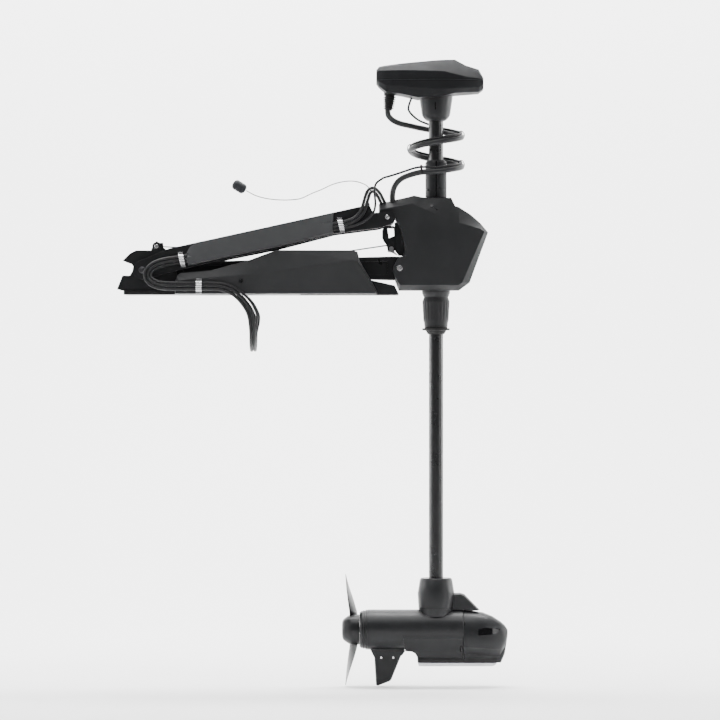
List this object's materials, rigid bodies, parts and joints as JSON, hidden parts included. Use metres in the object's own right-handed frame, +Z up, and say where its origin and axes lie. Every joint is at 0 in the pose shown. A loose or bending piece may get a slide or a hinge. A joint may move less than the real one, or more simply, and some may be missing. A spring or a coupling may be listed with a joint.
{
  "type": "trolling motor",
  "caption": "Bow-mount electric trolling motor: folding deck mount, steering housing, long shaft with control head, drive unit with propeller, and its cables.",
  "frame": {"origin": "middle of the deck face of the base, on the centre plane", "axes": "+Z up off the deck, +X outboard along the mount towards the shaft, +Y to the far side"},
  "size_m": [0.973, 0.2039, 1.563],
  "materials": {
    "arm_beam_far": "satin black paint",
    "arm_beam_near": "satin black paint",
    "arm_bridge": "satin black paint",
    "arm_clamp_lower": "pressed steel",
    "arm_clamp_upper": "pressed steel",
    "arm_cover_far": "fine-textured moulding",
    "arm_cover_near": "fine-textured moulding",
    "arm_lead_ribbon": "cable jacket",
    "arm_root_pin": "stainless",
    "arm_tip_pin": "stainless",
    "base_cable_clamp": "pressed steel",
    "base_plate": "satin black paint",
    "base_rail_far": "satin black paint",
    "base_rail_near": "satin black paint",
    "coil_cable_lower": "cable jacket",
    "coil_cable_upper": "cable jacket",
    "cradle_cheek_far": "satin black paint",
    "cradle_cheek_near": "satin black paint",
    "cradle_saddle": "satin black paint",
    "depth_collar": "moulded",
    "drive_sleeve": "anodised",
    "far_cable_clip": "pressed steel",
    "head_cover": "fine-textured moulding",
    "head_lower": "fine-textured moulding",
    "head_neck": "moulded",
    "keel": "satin black paint",
    "link_rail_far": "satin black paint",
    "link_rail_near": "satin black paint",
    "link_root_axle": "stainless",
    "link_tip_pin": "stainless",
    "loop_power_lead": "cable jacket",
    "lower_bearing_sleeve": "fine-textured moulding",
    "motor_collar": "satin black paint",
    "motor_rotor": "stainless",
    "motor_tube": "satin black paint",
    "nose_cone": "satin black paint",
    "power_lead": "cable jacket",
    "power_plug": "moulded",
    "propeller": "glass-filled moulding",
    "pull_cord": "cable jacket",
    "pull_handle": "matt rubber",
    "release_bracket": "satin black paint",
    "release_lever": "anodised",
    "root_lead_ribbon": "cable jacket",
    "shaft_rest_pad": "matt rubber",
    "shaft_tube": "satin black paint",
    "side_cover_far": "fine-textured moulding",
    "side_cover_near": "fine-textured moulding",
    "skeg": "satin black paint",
    "skid_plate": "anodised",
    "sonar_cable_lower": "cable jacket",
    "sonar_cable_upper": "cable jacket",
    "sonar_lead": "cable jacket",
    "sonar_plug": "moulded",
    "steering_housing": "fine-textured moulding",
    "stow_latch_lever": "satin black paint",
    "stow_latch_pin": "stainless",
    "strain_relief": "matt rubber"
  },
  "bodies": {
    "deck_mount": {"arm_root_pin": "arm_root_pin", "base_cable_clamp": "base_cable_clamp", "base_plate": "base_plate", "base_rail_far": "base_rail_far", "base_rail_near": "base_rail_near", "cradle_cheek_far": "cradle_cheek_far", "cradle_cheek_near": "cradle_cheek_near", "cradle_saddle": "cradle_saddle", "far_cable_clip": "far_cable_clip", "power_lead": "power_lead", "power_plug": "power_plug", "root_lead_ribbon": "root_lead_ribbon", "shaft_rest_pad": "shaft_rest_pad", "side_cover_far": "side_cover_far", "side_cover_near": "side_cover_near", "sonar_lead": "sonar_lead", "sonar_plug": "sonar_plug", "stow_latch_pin": "stow_latch_pin"},
    "upper_arm": {"arm_beam_near": "arm_beam_near", "arm_beam_far": "arm_beam_far", "arm_cover_near": "arm_cover_near", "arm_cover_far": "arm_cover_far", "arm_bridge": "arm_bridge", "arm_tip_pin": "arm_tip_pin", "arm_clamp_lower": "arm_clamp_lower", "arm_clamp_upper": "arm_clamp_upper", "arm_lead_ribbon": "arm_lead_ribbon", "pull_cord": "pull_cord", "pull_handle": "pull_handle", "loop_power_lead": "loop_power_lead"},
    "housing": {"steering_housing": "steering_housing", "link_tip_pin": "link_tip_pin", "lower_bearing_sleeve": "lower_bearing_sleeve", "release_bracket": "release_bracket", "coil_cable_lower": "coil_cable_lower", "sonar_cable_lower": "sonar_cable_lower"},
    "lower_link": {"link_rail_near": "link_rail_near", "link_rail_far": "link_rail_far", "link_root_axle": "link_root_axle"},
    "release_lever_body": {"release_lever": "release_lever"},
    "stow_latch_body": {"stow_latch_lever": "stow_latch_lever"},
    "drive_sleeve_body": {"drive_sleeve": "drive_sleeve", "coil_cable_upper": "coil_cable_upper", "sonar_cable_upper": "sonar_cable_upper"},
    "shaft": {"shaft_tube": "shaft_tube", "head_lower": "head_lower", "head_cover": "head_cover", "head_neck": "head_neck", "strain_relief": "strain_relief", "motor_tube": "motor_tube", "motor_collar": "motor_collar", "nose_cone": "nose_cone", "keel": "keel", "skid_plate": "skid_plate", "skeg": "skeg"},
    "collar": {"depth_collar": "depth_collar"},
    "prop": {"propeller": "propeller", "motor_rotor": "motor_rotor"}
  },
  "joints": [
    {"name": "arm_swing", "type": "hinge", "parent": "deck_mount", "child": "upper_arm", "pos_m": [-0.291, 0, 0.061], "axis": [0, -1, 0], "range_deg": [0, 100], "deforming": ["root_lead_ribbon", "loop_power_lead"]},
    {"name": "housing_tilt", "type": "hinge", "parent": "upper_arm", "child": "housing", "pos_m": [0.3175, 0, 0.19225], "axis": [0, 1, 0], "range_deg": [0, 26.52]},
    {"name": "link_fold", "type": "hinge", "parent": "housing", "child": "lower_link", "pos_m": [0.3485, 0, 0.06625], "axis": [0, -1, 0], "range_deg": [0, 31.7]},
    {"name": "release_lever_turn", "type": "hinge", "parent": "housing", "child": "release_lever_body", "pos_m": [0.328, -0.03, 0.1145], "axis": [0, -1, 0], "range_deg": [0, 20], "stiffness_Nm_per_rad": 0.05},
    {"name": "stow_latch_turn", "type": "hinge", "parent": "deck_mount", "child": "stow_latch_body", "pos_m": [-0.256, -0.0525, 0.12], "axis": [0, 1, 0], "range_deg": [0, 6], "stiffness_Nm_per_rad": 0.05},
    {"name": "steer", "type": "hinge", "parent": "housing", "child": "drive_sleeve_body", "pos_m": [0.44, 0, 0], "axis": [0, 0, 1], "range_deg": [-180, 180], "deforming": ["coil_cable_lower", "sonar_cable_lower"]},
    {"name": "shaft_depth", "type": "slide", "parent": "drive_sleeve_body", "child": "shaft", "axis": [0, 0, 1], "range_m": [0, 0.45], "deforming": ["coil_cable_upper", "sonar_cable_upper"]},
    {"name": "collar_slide", "type": "slide", "parent": "shaft", "child": "collar", "axis": [0, 0, 1], "range_m": [0, 0.09]},
    {"name": "prop_spin", "type": "hinge", "parent": "shaft", "child": "prop", "pos_m": [0.23, 0, -0.83625], "axis": [1, 0, 0], "continuous": true}
  ],
  "couplings": [
    {"joint": "housing_tilt", "follows": "arm_swing", "ratio": 0.26516},
    {"joint": "link_fold", "follows": "arm_swing", "ratio": 0.317}
  ]
}
